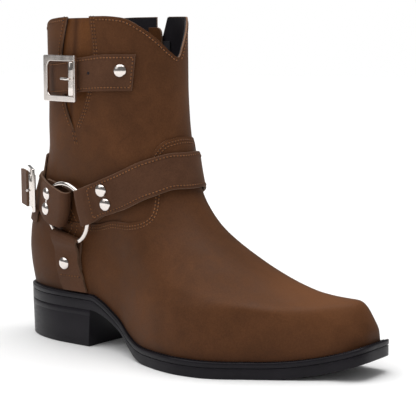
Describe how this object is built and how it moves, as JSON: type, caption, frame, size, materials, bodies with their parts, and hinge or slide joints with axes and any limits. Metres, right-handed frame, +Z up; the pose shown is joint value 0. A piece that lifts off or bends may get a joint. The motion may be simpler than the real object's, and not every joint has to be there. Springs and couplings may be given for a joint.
{
  "type": "leather boot",
  "caption": "Hollow leather ankle boot with welted sole, block heel, side gusset, inner zip, buckled top strap and a ring harness of straps round the ankle.",
  "frame": {"origin": "centre of the heel tread, on the floor", "axes": "+X toward the toe, +Y toward the inner side of the foot, +Z up"},
  "size_m": [0.3191, 0.1081, 0.252],
  "materials": {
    "boot_leather": "oiled brown leather, semi-matte, softly mottled",
    "strap_leather": "thick brown strap leather with raw lighter edges",
    "sole_rubber": "black, satin",
    "footbed": "black lining, matte",
    "zip_fabric": "black woven tape and teeth",
    "steel": "polished, nickel tone"
  },
  "bodies": {
    "boot": {"outsole": "sole_rubber", "welt": "sole_rubber", "insole": "footbed", "heel": "sole_rubber", "gusset": "boot_leather", "zip_tape": "zip_fabric", "zip_teeth": "zip_fabric", "zip_guard": "boot_leather", "upper": "boot_leather", "harness_ring": "steel", "top_strap": "strap_leather", "instep_strap": "strap_leather", "heel_strap": "strap_leather", "lower_strap": "strap_leather", "back_keeper": "strap_leather", "rivet_top": "steel", "rivet_instep_upper": "steel", "rivet_instep_lower": "steel", "rivet_heel_upper": "steel", "rivet_heel_lower": "steel", "rivet_lower": "steel", "top_buckle_frame": "steel", "top_buckle_roller": "steel", "top_buckle_prong": "steel", "heel_buckle_frame": "steel", "heel_buckle_roller": "steel", "heel_buckle_prong": "steel", "heel_strap_tip": "strap_leather", "zip_slider": "steel"},
    "pull": {"zip_pull": "steel"}
  },
  "joints": [
    {"name": "pull_swing", "type": "hinge", "parent": "boot", "child": "pull", "pos_m": [0.05928, 0.04158, 0.23062], "axis": [0.9944, -0.1053, 0.0007], "range_deg": [0, 165]}
  ]
}
